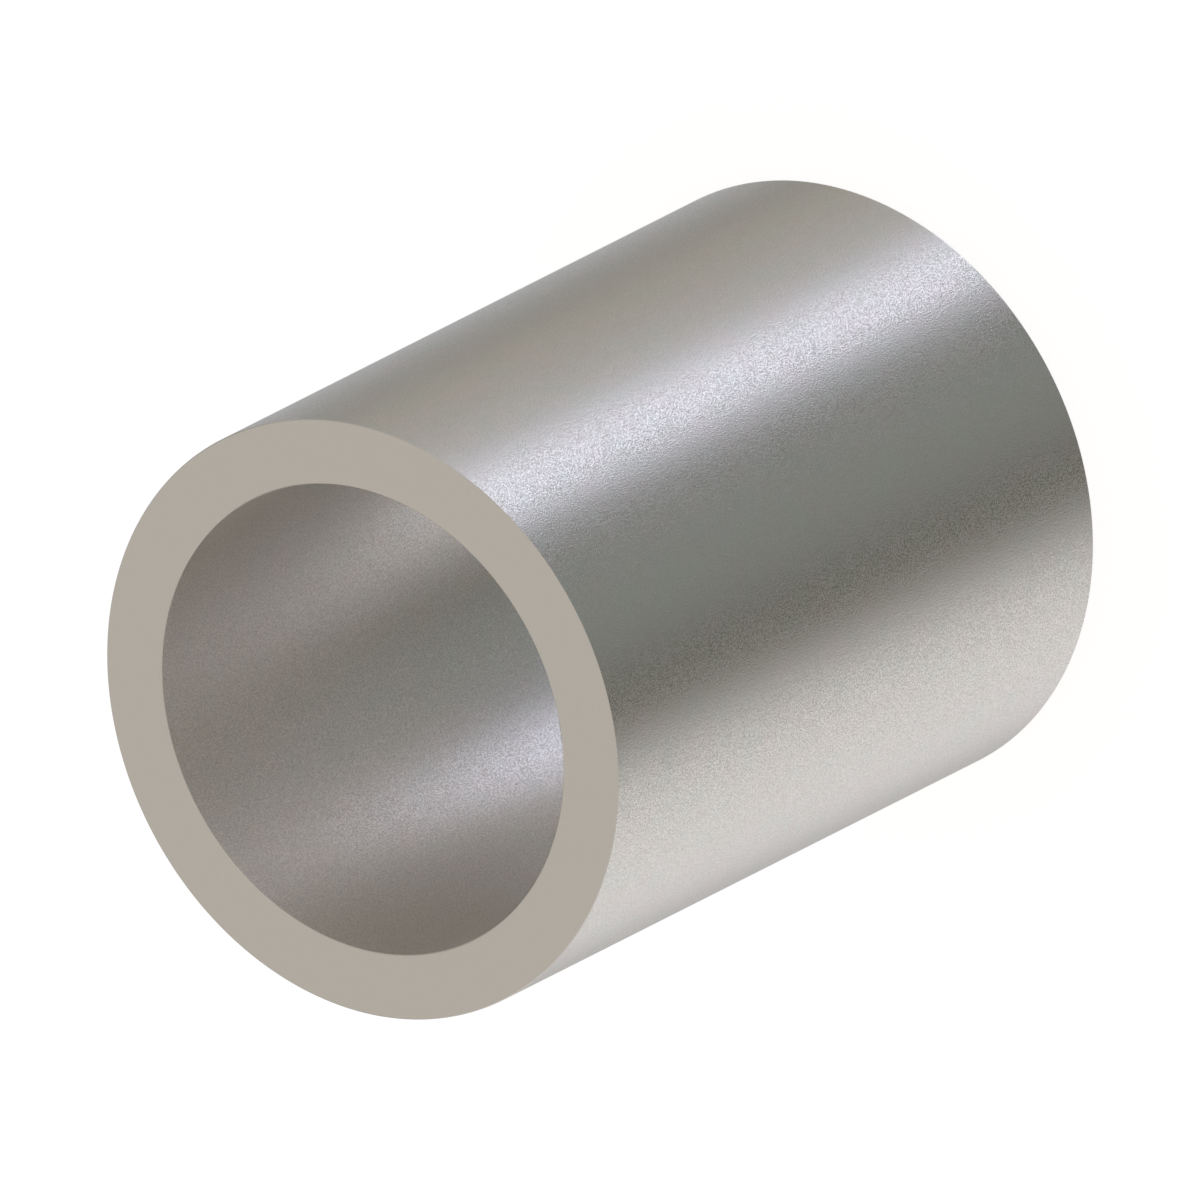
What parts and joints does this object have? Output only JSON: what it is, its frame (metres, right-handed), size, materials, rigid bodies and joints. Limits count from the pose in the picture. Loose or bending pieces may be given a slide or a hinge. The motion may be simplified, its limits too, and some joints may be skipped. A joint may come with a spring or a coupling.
{
  "type": "sleeve bushing",
  "caption": "Plain sleeve bushing: a short, thin-walled round steel tube with a smooth through bore and square-cut ends, pressed into a housing to line a bolt hole.",
  "frame": {"origin": "centre of the bore on the lower end face, which the bushing stands on", "axes": "+Z along the bore, from the lower end face to the upper one; the part is round about Z, so X and Y are free"},
  "size_m": [0.013, 0.013, 0.017],
  "materials": {
    "satin_steel": "satin, fine blasted grain on the round walls, smooth square-cut ends"
  },
  "bodies": {
    "root": {"sleeve": "satin_steel"}
  },
  "joints": []
}
